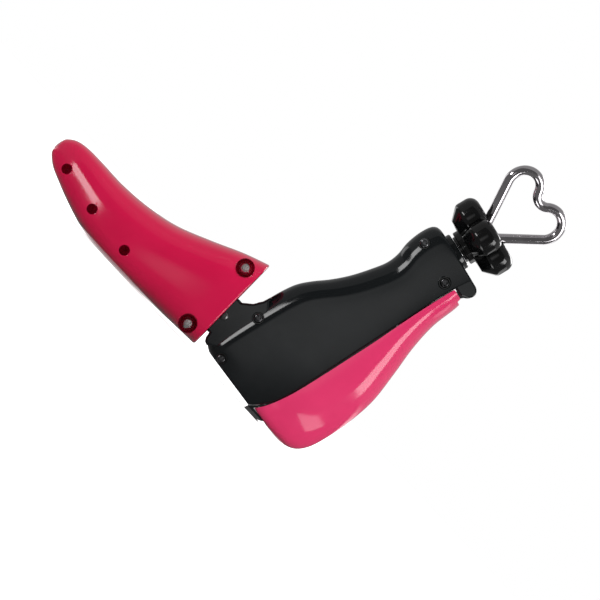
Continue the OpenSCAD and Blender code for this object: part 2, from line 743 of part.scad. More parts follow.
// Black heel frame: hinge barrel, plate across the seam, cheeks that slide inside the housing and a lip
module heel_frame() {
    face = function(z) seam_at(z) + plate_at;
    color(black) difference() {
        drive_frame() difference() {
            union() {
                bar(heel_axis, 4.1, -ear_half + run, ear_half - run);
                slab([[heel_axis.x - 2.6, heel_axis.y - 3], [face(-14), -14], [face(-14) + plate_t, -14],
                    [heel_axis.x + 2.6, heel_axis.y - 3]], -ear_half + run, ear_half - run);
                slab([[face(-13.4), -13.4], [face(-46), -46], [face(-46) + plate_t, -46],
                    [face(-13.4) + plate_t, -13.4]], -ear_half + run, ear_half - run);
                slab([[face(-45), -45], [face(plate_low), plate_low], [face(plate_low) + plate_t, plate_low],
                    [face(-45) + plate_t, -45]], -plate_half, plate_half);
                for (m = [0, 1]) mirror([0, m, 0]) slab([[face(-46) + 0.5, -46], [11, -52], [-1, -128],
                    [1, -130.6], [13.6, -131.2], [face(plate_low) + 0.5, plate_low]], cheek_in, cheek_out);
                slab([[face(-50) + 0.5, -50], nose_at + [0, nose_r], nose_at + [-1, -nose_r],
                    [face(-70) + 0.5, -70]], -6, 6);
                bar(nose_at, nose_r, -6, 6);
                slab([[face(plate_low), plate_low + 4], [16.4, -131.3], [15.75, -133], [15.1, -134.2], [14.15, -135.7],
                    [12.95, -137.8], [12.5, -143], [23.4, -138], [16.2, -136.6], [15.75, -135.6], [16.45, -134],
                    [17.1, -131.9], [face(plate_low) + plate_t, plate_low]], -lip_half, lip_half);
            }
            bar(heel_axis, heel_pin_r + fit, -ear_half - 1, ear_half + 1);
            for (z = heel_screws_at) translate([seam_at(z) - 3, 0, z]) rotate([0, 90, 0]) cylinder(r = 1.5, h = 12);
        }
        translate([0, -50, -20]) cube([200, 100, 20]);
    }
}

plate_half = 13.5;
lip_half = 14;

module heel_screws() {
    color(steel) drive_frame() for (z = heel_screws_at) translate([seam_at(z) + plate_at - fit, 0, z]) rotate([0, 90, 0]) {
        rotate_extrude() polygon([[0, -1.6], [1.8, -1.6], [2.6, -1], [2.6, 0], [0, 0]]);
        cylinder(r = 1.2, h = plate_t + (z < -60 ? 10 : 4));
    }
}

module housing_right() {
    color(black) drive_frame() housing_half_shell(false);
}

module housing_left() {
    color(black) drive_frame() left_copy() housing_half_shell(true);
}

module toe_shell_right() { color(toe_color) toe_place() toe_shell(); }
module toe_shell_left() { color(toe_color) toe_place() left_copy() toe_shell(); }
module toe_frame_right() { color(black) toe_place() toe_frame(); }
module toe_frame_left() { color(black) toe_place() left_copy() toe_frame(); }
module toe_screws_right() { color(steel) toe_place() toe_screws(); }
module toe_screws_left() { color(steel) toe_place() left_copy() toe_screws(); }
module toe_springs_right() { color(steel) toe_place() toe_springs(); }
module toe_springs_left() { color(steel) toe_place() left_copy() toe_springs(); }

housing_left();
housing_right();
housing_screws();
tilt_pin();
end_collar();
heel_pin();
rod_bush();
length_screw();
drive_sleeve();
star_knob();
screw_ring();
width_rod();
heart_handle();
rod_clip();
length_wedge();
length_nut();
width_wedge();
width_nut();
heel_shell();
heel_frame();
heel_screws();
toe_yoke();
toe_guide_pins();
toe_guide_clips();
toe_shell_left();
toe_shell_right();
toe_frame_left();
toe_frame_right();
toe_screws_left();
toe_screws_right();
toe_springs_left();
toe_springs_right();
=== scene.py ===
# Looks of the shoe stretcher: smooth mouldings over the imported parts, procedural materials, studio
import math

import bmesh
import bpy
from mathutils import Matrix, Vector


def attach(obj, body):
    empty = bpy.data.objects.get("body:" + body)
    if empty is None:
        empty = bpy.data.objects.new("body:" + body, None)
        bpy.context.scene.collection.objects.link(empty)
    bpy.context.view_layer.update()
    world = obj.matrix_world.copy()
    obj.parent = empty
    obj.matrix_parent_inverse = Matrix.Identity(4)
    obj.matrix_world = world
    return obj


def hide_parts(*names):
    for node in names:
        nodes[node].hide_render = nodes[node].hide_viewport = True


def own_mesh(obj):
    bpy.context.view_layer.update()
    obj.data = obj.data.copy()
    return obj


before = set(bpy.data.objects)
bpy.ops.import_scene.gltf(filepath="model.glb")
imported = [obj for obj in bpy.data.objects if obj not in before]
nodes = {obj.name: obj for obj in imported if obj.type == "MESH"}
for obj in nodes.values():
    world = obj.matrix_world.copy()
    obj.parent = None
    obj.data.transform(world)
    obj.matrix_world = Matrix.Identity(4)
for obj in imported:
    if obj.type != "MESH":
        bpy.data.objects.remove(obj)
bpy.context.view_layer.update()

# Sizes are in millimetres, as in the part's source, and finish_piece turns them into metres
MM = 0.001
AXIS_X, AXIS_Z, LEAN = 78.2, 139.8, math.radians(11.8)
TILT_AT = (-35.2, -124.2)
TOE_SHIFT = (AXIS_X + TILT_AT[0] * math.cos(LEAN) + TILT_AT[1] * math.sin(LEAN)) - 20.14
HALF_GAP = 0.15
HOUSING_GAP = HALF_GAP * 0.2

# Places of the drive frame and of the toe frame in the world
DRIVE = Matrix.Translation((AXIS_X, 0, AXIS_Z)) @ Matrix.Rotation(LEAN, 4, "Y")
TOE = Matrix.Translation((TOE_SHIFT, 0, 0))
SCALE = Matrix.Scale(MM, 4)
MIRROR = Matrix.Scale(-1, 4, (0, 1, 0))

# Radius of the small flat that ends a pointed or domed solid of revolution
TIP_R = 0.01
# How far a cutter for a sink runs out past the surface
PAST = 12


# Meshes
def smooth_row(rows, u):
    """Catmull-Rom curve through rows, read at a place counted in rows."""
    last = len(rows) - 1
    k = min(int(u), last - 1)
    f = u - k
    a, b, c, d = rows[max(k - 1, 0)], rows[k], rows[k + 1], rows[min(k + 2, last)]
    return [
        (2 * q + (r - p) * f + (2 * p - 5 * q + 4 * r - s) * f * f + (3 * q - p - 3 * r + s) * f**3) / 2
        for p, q, r, s in zip(a, b, c, d)
    ]


def signed_power(v, p):
    return math.copysign(abs(v) ** p, v)


def arc(x, z, r, start, stop, step):
    """Points of a circle in X and Z, at whole degrees from start to stop, which is left out."""
    turns = [math.radians(a) for a in range(start, stop, step)]
    return [(x + r * math.cos(t), z + r * math.sin(t)) for t in turns]


def new_object(name, mesh):
    obj = bpy.data.objects.new(name, mesh)
    bpy.context.scene.collection.objects.link(obj)
    return obj


def mesh_object(name, points, faces):
    mesh = bpy.data.meshes.new(name)
    mesh.from_pydata([tuple(p) for p in points], [], faces)
    mesh.validate()
    bm = bmesh.new()
    bm.from_mesh(mesh)
    bmesh.ops.recalc_face_normals(bm, faces=bm.faces)
    bm.to_mesh(mesh)
    bm.free()
    return new_object(name, mesh)


def loft(name, rings):
    """Closed solid of quads between rings of equally many points, with a cap on both ends."""
    count = len(rings[0])
    points = [p for ring in rings for p in ring]
    faces = []
    for k in range(len(rings) - 1):
        for j in range(count):
            a, b = k * count + j, k * count + (j + 1) % count
            faces.append((a, b, b + count, a + count))
    faces.append(tuple(reversed(range(count))))
    faces.append(tuple((len(rings) - 1) * count + j for j in range(count)))
    return mesh_object(name, points, faces)


def lathe(name, profile, sides=64):
    """Solid of revolution about Z of a profile of (radius, height), from its low end to its high end."""
    turns = [2 * math.pi * j / sides for j in range(sides)]
    return loft(name, [[(r * math.cos(t), r * math.sin(t), z) for t in turns] for r, z in profile])


def along_y(obj, x, z):
    """Turns a lathe's axis to Y and puts it at a place."""
    obj.data.transform(Matrix.Translation((x, 0, z)) @ Matrix.Rotation(math.radians(-90), 4, "X"))
    return obj


def along_x(obj, x, z):
    """Turns a lathe's axis to X and puts it at a place."""
    obj.data.transform(Matrix.Translation((x, 0, z)) @ Matrix.Rotation(math.radians(90), 4, "Y"))
    return obj


def post(name, r, z0, z1, sides=64):
    """Cylinder along Z."""
    return lathe(name, [(r, z0), (r, z1)], sides)


def rod(name, x, z, r, y0, y1, sides=48):
    """Cylinder along Y at a place."""
    return along_y(post(name, r, y0, y1, sides), x, z)


def slab(name, outline, y0, y1):
    """Prism of an (x, z) outline from y0 to y1."""
    count = len(outline)
    points = [(x, y, z) for y in (y0, y1) for x, z in outline]
    faces = [tuple(range(count)), tuple(range(2 * count - 1, count - 1, -1))]
    faces += [(j, (j + 1) % count, (j + 1) % count + count, j + count) for j in range(count)]
    return mesh_object(name, points, faces)


def box(name, x0, x1, y0, y1, z0, z1):
    return slab(name, [(x0, z0), (x1, z0), (x1, z1), (x0, z1)], y0, y1)


def round_edges(obj, chosen, width, segments):
    """Rounds the edges for which chosen says yes."""
    bm = bmesh.new()
    bm.from_mesh(obj.data)
    edges = [e for e in bm.edges if chosen(e)]
    bmesh.ops.bevel(bm, geom=edges, offset=width, segments=segments, profile=0.5, affect="EDGES")
    bm.to_mesh(obj.data)
    bm.free()
    return obj


def rounded_slab(name, outline, y0, y1, radius):
    """Prism whose outer rim, at y1, has a round."""
    return round_edges(
        slab(name, outline, y0, y1), lambda e: all(abs(v.co.y - y1) < 1e-4 for v in e.verts), radius, 4
    )


def apply_modifiers(obj):
    depsgraph = bpy.context.evaluated_depsgraph_get()
    mesh = bpy.data.meshes.new_from_object(obj.evaluated_get(depsgraph))
    old = obj.data
    obj.modifiers.clear()
    obj.data = mesh
    bpy.data.meshes.remove(old)


def remove(obj):
    mesh = obj.data
    bpy.data.objects.remove(obj)
    bpy.data.meshes.remove(mesh)


def cut(target, tools, operation="DIFFERENCE"):
    """Boolean of target with each tool in turn; the tools are removed."""
    for tool in tools:
        mod = target.modifiers.new("cut", "BOOLEAN")
        mod.operation, mod.solver, mod.object = operation, "EXACT", tool
        apply_modifiers(target)
        remove(tool)
    return target


def join(pieces):
    """Adds the meshes of the other pieces to the first."""
    bm = bmesh.new()
    for piece in pieces:
        bm.from_mesh(piece.data)
    bm.to_mesh(pieces[0].data)
    bm.free()
    for piece in pieces[1:]:
        remove(piece)
    return pieces[0]


def mirrored(obj, name):
    """Copy of a piece on the other side of the middle plane."""
    mesh = obj.data.copy()
    mesh.transform(MIRROR)
    mesh.flip_normals()
    return new_object(name, mesh)


def finish_piece(obj, place, material, body, slot, *replaced, angle=32, even=False):
    """Puts a piece in its place in metres, shades it, hangs it on its body and hides the CAD parts that it
    replaces.

    Edges sharper than angle stay sharp. With even, the normals are weighted, so flat faces look flat.
    """
    obj.data.transform(SCALE @ place)
    obj.data.polygons.foreach_set("use_smooth", [True] * len(obj.data.polygons))
    obj.data.set_sharp_from_angle(angle=math.radians(angle))
    obj.data.materials.clear()
    obj.data.materials.append(material)
    if even:
        obj.modifiers.new("normals", "WEIGHTED_NORMAL").keep_sharp = True
        apply_modifiers(obj)
    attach(obj, body)
    if replaced:
        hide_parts(*replaced)


# Materials
class Nodes:
    """Short way to build a node material."""

    def __init__(self, name):
        self.material = bpy.data.materials.new(name)
        self.material.use_nodes = True
        self.tree = self.material.node_tree
        self.shader = self.tree.nodes["Principled BSDF"]
        self.coords = self.tree.nodes.new("ShaderNodeTexCoord").outputs["Object"]

    def node(self, kind, **values):
        made = self.tree.nodes.new(kind)
        for key, value in values.items():
            if key in made.inputs:
                made.inputs[key].default_value = value
            else:
                setattr(made, key, value)
        return made

    def link(self, source, target):
        self.tree.links.new(source, target)

    def noise(self, scale, detail, rough, stretch=None):
        made = self.node("ShaderNodeTexNoise", Scale=scale, Detail=detail, Roughness=rough)
        coords = self.coords
        if stretch:
            mapping = self.node("ShaderNodeMapping", Scale=stretch)
            self.link(coords, mapping.inputs["Vector"])
            coords = mapping.outputs["Vector"]
        self.link(coords, made.inputs["Vector"])
        return made.outputs["Fac"]

    def ramp(self, source, low, high, a, b):
        """Maps source from low..high to a..b."""
        made = self.node("ShaderNodeMapRange")
        made.inputs["From Min"].default_value, made.inputs["From Max"].default_value = low, high
        made.inputs["To Min"].default_value, made.inputs["To Max"].default_value = a, b
        self.link(source, made.inputs["Value"])
        return made.outputs["Result"]

    def tint(self, source, dark, light):
        """Colour between dark and light; the colour sockets of this node go by number."""
        made = self.node("ShaderNodeMix", data_type="RGBA")
        factor, first, second, result = made.inputs[0], made.inputs[6], made.inputs[7], made.outputs[2]
        first.default_value, second.default_value = (*dark, 1), (*light, 1)
        self.link(source, factor)
        return result

    def bump(self, source, distance, strength=1.0, below=None):
        made = self.node("ShaderNodeBump", Strength=strength, Distance=distance)
        self.link(source, made.inputs["Height"])
        if below is not None:
            self.link(below, made.inputs["Normal"])
        return made.outputs["Normal"]


PEEL_DEPTH, SCRATCH_DEPTH = 0.0000008, 0.0000005


def moulded(name, dark, light, rough, peel=PEEL_DEPTH):
    """Injection-moulded plastic: faint flow marks in its colour, orange peel, and handling in its gloss."""
    m = Nodes(name)
    flow = m.noise(28, 4, 0.55, (1.0, 1.6, 0.5))
    m.link(m.tint(m.ramp(flow, 0.3, 0.7, 0, 1), dark, light), m.shader.inputs["Base Color"])
    smear = m.noise(65, 5, 0.6)
    m.link(m.ramp(smear, 0.3, 0.75, rough * 0.8, rough * 1.35), m.shader.inputs["Roughness"])
    fine = m.bump(m.noise(420, 2, 0.4), peel)
    scratch = m.ramp(m.noise(900, 2, 0.5, (1.0, 1.0, 0.06)), 0.68, 0.8, 0, 1)
    m.link(m.bump(scratch, SCRATCH_DEPTH, 0.4, fine), m.shader.inputs["Normal"])
    m.shader.inputs["IOR"].default_value = 1.5
    return m.material


def metal(name, dark, light, rough, grain=(1.0, 1.0, 1.0), depth=0.00001, scale=700):
    """Metal with a fine grain that catches light, and a little tarnish."""
    m = Nodes(name)
    tarnish = m.ramp(m.noise(160, 5, 0.6), 0.35, 0.7, 0, 1)
    m.link(m.tint(tarnish, dark, light), m.shader.inputs["Base Color"])
    m.shader.inputs["Metallic"].default_value = 1.0
    lines = m.noise(scale, 3, 0.6, grain)
    m.link(m.ramp(lines, 0.3, 0.7, rough * 0.75, rough * 1.3), m.shader.inputs["Roughness"])
    m.link(m.bump(lines, depth), m.shader.inputs["Normal"])
    return m.material


TOE_RED = moulded("toe_plastic", (0.52, 0.0035, 0.050), (0.56, 0.006, 0.058), 0.10)
HEEL_PINK = moulded("heel_plastic", (0.68, 0.030, 0.126), (0.74, 0.040, 0.146), 0.10)
BLACK = moulded("black_plastic", (0.0032, 0.0042, 0.0048), (0.0052, 0.0066, 0.0074), 0.10)
KNOB_BLACK = moulded("knob_plastic", (0.0026, 0.0026, 0.0028), (0.0044, 0.0044, 0.0046), 0.09)
NYLON = moulded("inner_plastic", (0.016, 0.016, 0.017), (0.026, 0.026, 0.028), 0.5, peel=0.00002)
CHROME = metal("chrome_wire", (0.62, 0.59, 0.615), (0.74, 0.71, 0.735), 0.045, depth=0.000002, scale=300)
ZINC = metal("bright_steel", (0.72, 0.71, 0.70), (0.92, 0.91, 0.90), 0.24)
TURNED = metal("turned_steel", (0.45, 0.45, 0.46), (0.62, 0.62, 0.63), 0.28, (1.0, 1.0, 40.0), scale=60)
BLACK_ZINC = metal("black_screw", (0.05, 0.05, 0.053), (0.30, 0.30, 0.31), 0.22)
PIN_STEEL = metal("pin_steel", (0.16, 0.16, 0.16), (0.30, 0.30, 0.30), 0.35)
BRASS = metal("nut_brass", (0.50, 0.33, 0.12), (0.62, 0.44, 0.18), 0.28)

# Toe block: rows are (high x, high z, low x, low z, half width) from the tip to the rear end
TOE_ROWS = [
    (-108.8, 22.8, -108.8, 20.8, 2.2), (-108.3, 25.4, -108.25, 18.5, 5.4),
    (-107, 28.2, -106.8, 16.3, 9.5), (-102.3, 31.5, -101.6, 12.5, 15),
    (-95, 33, -94.2, 9.5, 19.5), (-84, 33.3, -82, 5.3, 24.5), (-69, 33.3, -67.5, 1.5, 29),
    (-51.5, 35.2, -52, -0.5, 32.2), (-33, 39.6, -34, -0.5, 33.45), (-14, 48, -14, 0.9, 33),
    (2.6, 56.2, 4, 2.3, 31.2), (17.3, 62.1, 20.3, 3.3, 28.6),
]
TOE_END = len(TOE_ROWS) - 1
# Fullness of the section, the height share of its widest place, and the break of its inner edges
TOE_FULL, TOE_BELLY, TOE_BREAK = 3.1, 0.32, 0.35
TOE_STEPS, TOE_SIDES, TOE_RIM = 150, 56, 1.1
TOE_WALL, TOE_CAVITY_FROM, TOE_CAVITY_STEPS, TOE_CAVITY_SIDES = 2.5, 2.1, 40, 24
TOE_SCREWS = [(9.3, 51.4), (10.2, 8.4)]
TOE_SINK_R, TOE_SEAT_R, TOE_BORE_R = 5.2, 3.4, 1.6
PLUGS = [(-95, 17.1), (-69.7, 12.6), (-41.6, 10.3)]
PLUG_R, PLUG_DEPTH, PLUG_POINT, PLUG_FLARE = 2.9, 8.5, 1.8, 0.35
# Walls round a sink or a plug hole, and how far a plug's socket reaches in and out from the surface
BOSS_WALL, BOSS_END, SOCKET_IN, SOCKET_OUT = 1.8, 33, 12, 4
# Ditch round the seat of a toe screw
DITCH, DITCH_ROUND = 1.5, 0.4
ARM_OUT = 5.1
BOSS_OUT = ARM_OUT + 5
SCREW_FLOOR = BOSS_OUT + 2.5


def toe_ring(u, inset, skirt, sides):
    """D-shaped ring of the right toe half; skirt runs past the middle plane."""
    ax, az, bx, bz, w = smooth_row(TOE_ROWS, u)
    length = math.hypot(ax - bx, az - bz)
    dx, dz = (ax - bx) / length, (az - bz) / length
    low = (bx + dx * inset, bz + dz * inset)
    high = (ax - dx * inset, az - dz * inset)
    w -= inset
    inner = -skirt if skirt else HALF_GAP
    edge = 0.0 if skirt else TOE_BREAK
    ring = [(low[0] + dx * edge, inner, low[1] + dz * edge)]
    for j in range(sides + 1):
        a = math.radians(-90 + 180 * j / sides)
        share = signed_power(math.sin(a), 2 / TOE_FULL)
        q = TOE_BELLY + (TOE_BELLY if share < 0 else 1 - TOE_BELLY) * share
        y = HALF_GAP + edge + (w - HALF_GAP - edge) * abs(math.cos(a)) ** (2 / TOE_FULL)
        ring.append((low[0] + (high[0] - low[0]) * q, y, low[1] + (high[1] - low[1]) * q))
    ring.append((high[0] - dx * edge, inner, high[1] - dz * edge))
    return ring


def toe_short_of_end(d):
    """Place along the rows that lies d short of the rear end, found in small steps."""
    u = TOE_END
    while smooth_row(TOE_ROWS, u)[2] > TOE_ROWS[-1][2] - d:
        u -= 0.002
    return u


def toe_surface(x, z, steps=200):
    """Half width of the toe at a place seen from the side."""
    best = None
    for k in range(steps + 1):
        ax, az, bx, bz, w = smooth_row(TOE_ROWS, TOE_END * k / steps)
        q = (z - bz) / (az - bz)
        miss = abs(bx + (ax - bx) * q - x)
        if best is None or miss < best[0]:
            best = (miss, q, w)
    q, w = best[1:]
    share = (q - TOE_BELLY) / (TOE_BELLY if q < TOE_BELLY else 1 - TOE_BELLY)
    side = signed_power(share, TOE_FULL / 2)
    return HALF_GAP + (w - HALF_GAP) * (1 - side * side) ** (1 / TOE_FULL)


def sink(name, x, z, floor, mouth, r, flare=0.5, point=0.0, seat=0.0):
    """Cutter for a round sink along Y, from its floor out past the surface.

    The mouth is rounded by flare. The floor is flat, or comes to a point, or has a ditch round a seat.
    """
    if seat:
        profile = [(seat, floor), (r - 0.5, floor - DITCH), (r, floor - DITCH + DITCH_ROUND)]
    else:
        profile = [(TIP_R, floor - point)] if point else []
        profile += [(r - 0.3, floor), (r, floor + 0.3)]
    profile.append((r, mouth - flare))
    for k in range(1, 5):
        t = math.radians(22.5 * k)
        profile.append((r + flare * (1 - math.cos(t)), mouth - flare + flare * math.sin(t)))
    profile.append((r + flare, mouth + PAST))
    return along_y(lathe(name, profile), x, z)


def build_toe():
    last = toe_short_of_end(TOE_RIM * 1.3)
    rings = [toe_ring(last * (k / TOE_STEPS) ** 1.25, 0, 0, TOE_SIDES) for k in range(TOE_STEPS + 1)]
    # The rear rim is broken by a round
    for a in range(0, 91, 15):
        t = math.radians(a)
        back, inset = TOE_RIM * (1 - math.sin(t)), TOE_RIM * (1 - math.cos(t))
        rings.append(toe_ring(toe_short_of_end(back), inset, 0, TOE_SIDES))
    shell = loft("toe_shell", rings)
    inner = []
    for k in range(TOE_CAVITY_STEPS + 1):
        u = TOE_CAVITY_FROM + (TOE_END - TOE_CAVITY_FROM) * k / TOE_CAVITY_STEPS
        inner.append(toe_ring(u, TOE_WALL, 1, TOE_CAVITY_SIDES))
    inner.append([(x + 3, y, z) for x, y, z in inner[-1]])
    cavity = loft("toe_cavity", inner)
    posts = [rod("boss", x, z, TOE_SINK_R + BOSS_WALL, BOSS_OUT, BOSS_END, 40) for x, z in TOE_SCREWS]
    for x, z in PLUGS:
        y = toe_surface(x, z)
        posts.append(rod("socket", x, z, PLUG_R + BOSS_WALL, y - SOCKET_IN, y + SOCKET_OUT, 40))
    cut(cavity, posts)
    cut(shell, [cavity])
    holes = []
    for x, z in TOE_SCREWS:
        holes.append(sink("sink", x, z, SCREW_FLOOR, toe_surface(x, z), TOE_SINK_R, seat=TOE_SEAT_R))
        holes.append(rod("bore", x, z, TOE_BORE_R, 4, 30, 24))
    for x, z in PLUGS:
        y = toe_surface(x, z)
        holes.append(sink("plug", x, z, y - PLUG_DEPTH, y, PLUG_R, PLUG_FLARE, PLUG_POINT))
    cut(shell, holes + [box("sole", -140, 60, -5, 60, -5, 0)])
    left = mirrored(shell, "toe_shell_left_skin")
    shell.name = "toe_shell_right_skin"
    finish_piece(shell, TOE, TOE_RED, "toe_right", "toe_plastic", "toe_shell_right")
    finish_piece(left, TOE, TOE_RED, "toe_left", "toe_plastic", "toe_shell_left")


# Housing: rows are (front x, front z, seam x, seam z) from the top down
HOUSING_ROWS = [
    (-14, 0, 19, 0), (-17, -1.3, 17.6, -1.3), (-18.8, -4.6, 17.2, -4.6), (-19.1, -11, 16.6, -11),
    (-17.9, -19, 16.5, -19), (-15.3, -26.5, 16.7, -26.5), (-14.5, -34, 17, -34), (-16, -43.5, 17.4, -43.5),
    (-18.6, -54.5, 17.7, -54.5), (-22.2, -64.5, 18.1, -64.5), (-26.4, -73.5, 18.4, -73.5),
    (-29.3, -81.5, 18.7, -81.5), (-30.4, -90, 19, -90), (-30.6, -100, 19.4, -100),
    (-30.6, -112, 19.7, -112), (-30.4, -124, 19.4, -119.5), (-29.8, -134, 18.6, -124.5),
    (-28.4, -137.6, 17.5, -128.2), (-25.8, -139.9, 15.6, -132.6), (-22.4, -141.1, 12.6, -137.5),
]
HOUSING_END = len(HOUSING_ROWS) - 1
HOUSING_STEPS, HOUSING_SIDES = 170, 20
HOUSING_HALF, HOUSING_WALL = 18.5, 2.3
SHOULDER_R, SHOULDER_RUN, SEAM_ROUND = 11, 11.5, 0.9
# The flat side bulges along the housing and across it, and is sunk so as to stay inside the part
CROWN_ALONG, CROWN_ACROSS, CROWN_LOW, CROWN_AT = 0.3, 0.35, 0.35, 68.5
CAVITY_HALF = HOUSING_HALF - HOUSING_WALL
# How far the rings at the ends are drawn in, as (place from that end, pull)
TOP_PULL = [(0.0, 0.7), (0.06, 0.45), (0.16, 0.25), (0.3, 0.1), (0.5, 0.02)]
LOW_PULL = [(0.2, 0.12), (0.08, 0.35), (0.0, 0.7)]
PILLARS = [(-13, -11.6), (11, -13.2), (-24.4, -109), (-16, -137.3)]
PILLAR_R, PILLAR_CUP_R, PILLAR_CUP = 3, 4.6, 4.2
HEAD_SINK, HEAD_SINK_R, THREAD_BORE_R, CLEAR_BORE_R = 2.6, 3.4, 1.1, 1.5
HEEL_AT = (21, -4.8)
PIN_R = 2
NECK_R, NECK_HALF, NECK_ROUND = 12, 17, 1.4
FOOT_LOW, FOOT_ROUND = 0.5, 0.9
NECK = arc(*TILT_AT, NECK_R, 95, 276, 5) + [
    (-31.4, -135.6), (-30.2, -138.2), (-28.6, -139.9), (-26.4, -140.2), (-22, -136), (-22, -104),
    (-30.6, -98), (-30.8, -102), (-32.6, -107.4),
]
FOOT = [(12, 0)] + arc(21.3, -4, 4, 90, -76, -8) + [(21, -9.4), (14, -9.4)]
MOUTH = [
    (-60, -150), (-34.5, -137.4), (-31, -133.4), (-20, -133.4), (-20, -114.6), (-28.4, -113.6),
    (-29.2, -106.8), (-33, -104), (-60, -100),
]
EAR_HALF = 11.8
COLLAR_BORE_R = 8.2


def housing_ring(u, inset, skirt, mouth, sides, pull=0.0):
    """Ring of a housing half in the drive frame: round shoulder, flat side, cut along the seam.

    For the room inside, inset draws it in, skirt runs past the middle plane and mouth past the seam.
    At the ends of the outer form, pull draws it in.
    """
    fx, fz, sx, sz = smooth_row(HOUSING_ROWS, u)
    length = math.hypot(sx - fx, sz - fz)
    dx, dz = (sx - fx) / length, (sz - fz) / length
    fx, fz = fx + dx * (inset + pull), fz + dz * (inset + pull)
    sx, sz = sx + dx * mouth, sz + dz * mouth
    h = HOUSING_HALF - inset - pull
    if not skirt:
        h += CROWN_ALONG * (1 - (sz / CROWN_AT + 1) ** 2) - CROWN_LOW
    ry, rt = SHOULDER_R - inset, SHOULDER_RUN - inset * 0.8
    inner = -skirt if skirt else HOUSING_GAP
    ring = [(fx, inner, fz)]
    for j in range(sides + 1):
        a = math.radians(90 * j / sides)
        t = rt * (1 - math.cos(a))
        ring.append((fx + dx * t, h - ry + ry * math.sin(a), fz + dz * t))
    if skirt:
        ring.append((sx, h, sz))
    else:
        run = math.hypot(sx - fx, sz - fz) - rt - SEAM_ROUND
        for j in range(1, 12):
            q = j / 12
            t = rt + run * q
            ring.append((fx + dx * t, h + CROWN_ACROSS * (1 - (2 * q - 1) ** 2), fz + dz * t))
        for j in range(7):
            a = math.radians(15 * j)
            back, low = SEAM_ROUND * (1 - math.sin(a)), SEAM_ROUND * (1 - math.cos(a))
            ring.append((sx - dx * back, h - low, sz - dz * back))
    ring.append((sx, inner, sz))
    return ring


def housing_skin():
    """Closed outer form of a housing half, with its neck and the foot over the heel's hinge."""
    first, last = 0.8, HOUSING_END - 0.35
    places = TOP_PULL + [(first + (last - first) * k / HOUSING_STEPS, 0) for k in range(HOUSING_STEPS + 1)]
    places += [(HOUSING_END - back, pull) for back, pull in LOW_PULL]
    half = loft("housing", [housing_ring(u, 0, 0, 0, HOUSING_SIDES, pull) for u, pull in places])
    neck = rounded_slab("neck", NECK, HOUSING_GAP, NECK_HALF, NECK_ROUND)
    foot = rounded_slab("foot", FOOT, HOUSING_GAP, HOUSING_HALF - FOOT_LOW, FOOT_ROUND)
    return cut(half, [neck, foot], "UNION")


def housing_room():
    """Room inside a housing half, less the pillars and the seat of the bush."""
    steps = 60
    places = [2 + (HOUSING_END - 3) * k / steps for k in range(steps + 1)]
    room = loft("housing_cavity", [housing_ring(u, HOUSING_WALL, 1, 6, 8) for u in places])
    cut(room, [slab("mouth", MOUTH, -1, CAVITY_HALF)], "UNION")
    posts = [rod("pillar", x, z, PILLAR_R, -2, HOUSING_HALF) for x, z in PILLARS]
    cup_low = HOUSING_HALF - PILLAR_CUP
    posts += [rod("pillar_cup", x, z, PILLAR_CUP_R, cup_low, HOUSING_HALF) for x, z in PILLARS]
    seat = cut(box("bush_seat", -9, 9, -2, 9, -138.5, -130.5), [post("bush_hole", 5.4, -134.5, -120)])
    return cut(room, posts + [seat])


def build_housing():
    half = cut(housing_skin(), [housing_room()])
    x, z = HEEL_AT
    cut(half, [
        box("ear", x - 6, x + 14, -1, EAR_HALF, z - 8, z + 12),
        rod("heel_bore", x, z, PIN_R, -1, HOUSING_HALF - 1.5),
        rod("tilt_bore", *TILT_AT, PIN_R, -1, HOUSING_HALF + 1),
        post("collar_bore", COLLAR_BORE_R, -10, 1),
    ])
    other = new_object("housing_other", half.data.copy())
    cut(half, [rod("blind", x, z, THREAD_BORE_R, -1, HOUSING_HALF - 3) for x, z in PILLARS])
    holes = [rod("through", x, z, CLEAR_BORE_R, -1, HOUSING_HALF + 1) for x, z in PILLARS]
    for x, z in PILLARS:
        holes.append(sink("head_sink", x, z, HOUSING_HALF - HEAD_SINK, HOUSING_HALF, HEAD_SINK_R, 0.4))
    cut(other, holes)
    left = mirrored(other, "housing_left_skin")
    remove(other)
    half.name = "housing_right_skin"
    finish_piece(half, DRIVE, BLACK, "housing", "black_plastic", "housing_right", angle=28, even=True)
    finish_piece(left, DRIVE, BLACK, "housing", "black_plastic", "housing_left", angle=28, even=True)


# Heel: rows are (seam x, seam z, back x, back z, share of the sole's width) from the top down
HEEL_ROWS = [
    (16.95, -10.6, 24.6, -10.2, 0.0), (16.85, -16, 26, -15.6, 0.02), (17.15, -30, 27.9, -30.5, 0.08),
    (17.85, -46, 32.6, -46, 0.2), (18.8, -62, 39.2, -61.6, 0.45), (19.4, -80, 46, -79.5, 0.75),
    (19.9, -98, 49.2, -98, 0.95), (20, -112, 49.9, -112.5, 1.0), (19.2, -123, 48.9, -122.5, 0.96),
    (17.9, -130, 45.4, -129.3, 0.86), (16.6, -134, 38.6, -133.4, 0.68), (15.9, -135.6, 31, -134.9, 0.45),
]
HEEL_END = len(HEEL_ROWS) - 1
HEEL_TOP, HEEL_SOLE, HEEL_WALL, HEEL_FULL = 18.2, 20.5, 2.5, 2.1
HEEL_STEPS, HEEL_SIDES = 200, 60
# The sole draws in from this share of the length on
PINCH_FROM, PINCH = 0.82, 4.5
HEEL_SCREWS = (-36, -84, -116)
HEEL_BOSS_R, HEEL_BORE_R = 3, 1.2
# The plate of the heel frame lies this far behind the seam and is this thick
PLATE_AT, PLATE_T = 1.2, 2.4


def seam_at(z):
    """The straight line along the housing's seam."""
    return 16.9 - z * 0.0265


